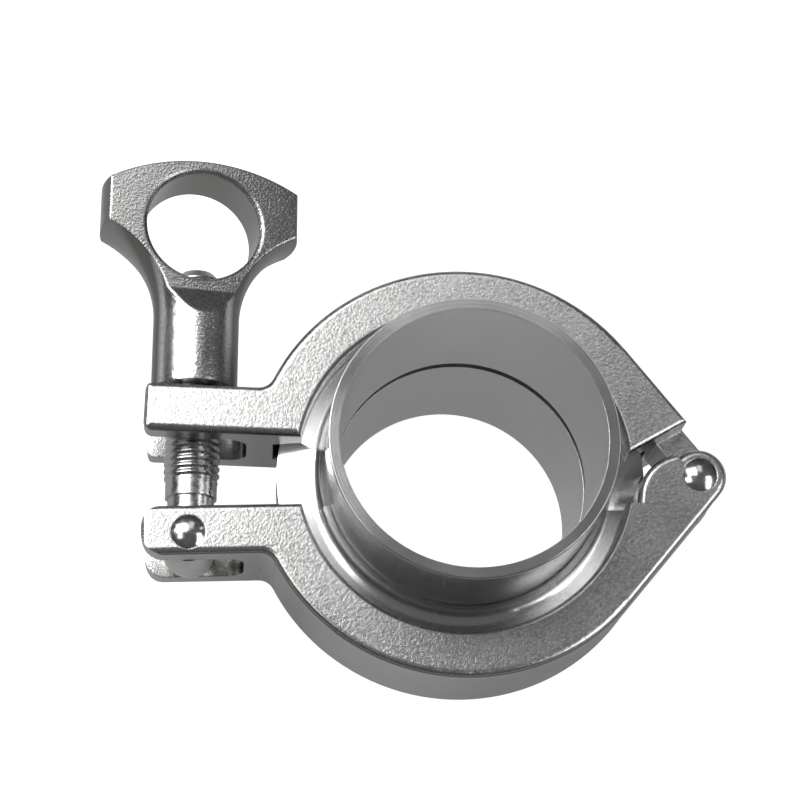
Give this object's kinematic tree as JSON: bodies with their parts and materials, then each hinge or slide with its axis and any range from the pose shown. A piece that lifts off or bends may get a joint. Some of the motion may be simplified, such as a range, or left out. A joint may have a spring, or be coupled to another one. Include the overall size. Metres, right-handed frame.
{
  "type": "clamped pipe union",
  "caption": "Hygienic pipe union: flanged ferrules and a gasket held by a hinged cast clamp with a swing bolt and a ring-topped wing nut.",
  "frame": {"origin": "on the pipe axis, in the plane of the lower ferrule's weld end", "axes": "+Z along the pipe axis towards the upper ferrule, +X towards the clamp's hinge, +Y towards the wing nut's ring"},
  "size_m": [0.0868, 0.0748, 0.0445],
  "materials": {
    "turned_steel": "turned and polished",
    "cast_steel": "bead-blasted casting",
    "pin_steel": "polished, riveted ends",
    "bolt_steel": "machined",
    "nut_steel": "bead-blasted casting",
    "gasket_rubber": "matt"
  },
  "bodies": {
    "base": {"lower_jaw": "cast_steel", "hinge_pin": "pin_steel", "bolt_pivot_pin": "pin_steel", "lower_ferrule": "turned_steel", "upper_ferrule": "turned_steel", "gasket": "gasket_rubber"},
    "top_jaw": {"upper_jaw": "cast_steel"},
    "bolt": {"eye_bolt": "bolt_steel"},
    "nut": {"wing_nut": "nut_steel"}
  },
  "joints": [
    {"name": "jaw_open", "type": "hinge", "parent": "base", "child": "top_jaw", "pos_m": [0.0322, -0.0004, 0.02225], "axis": [0, 0, -1], "range_deg": [0, 9]},
    {"name": "bolt_swing", "type": "hinge", "parent": "base", "child": "bolt", "pos_m": [-0.0369, -0.0097, 0.02225], "axis": [0, 0, 1], "range_deg": [0, 100]},
    {"name": "nut_travel", "type": "slide", "parent": "bolt", "child": "nut", "axis": [0, 1, 0], "range_m": [0, 0.012]}
  ],
  "couplings": [
    {"joint": "jaw_open", "follows": "nut_travel", "rad_per_m": 12.5}
  ]
}
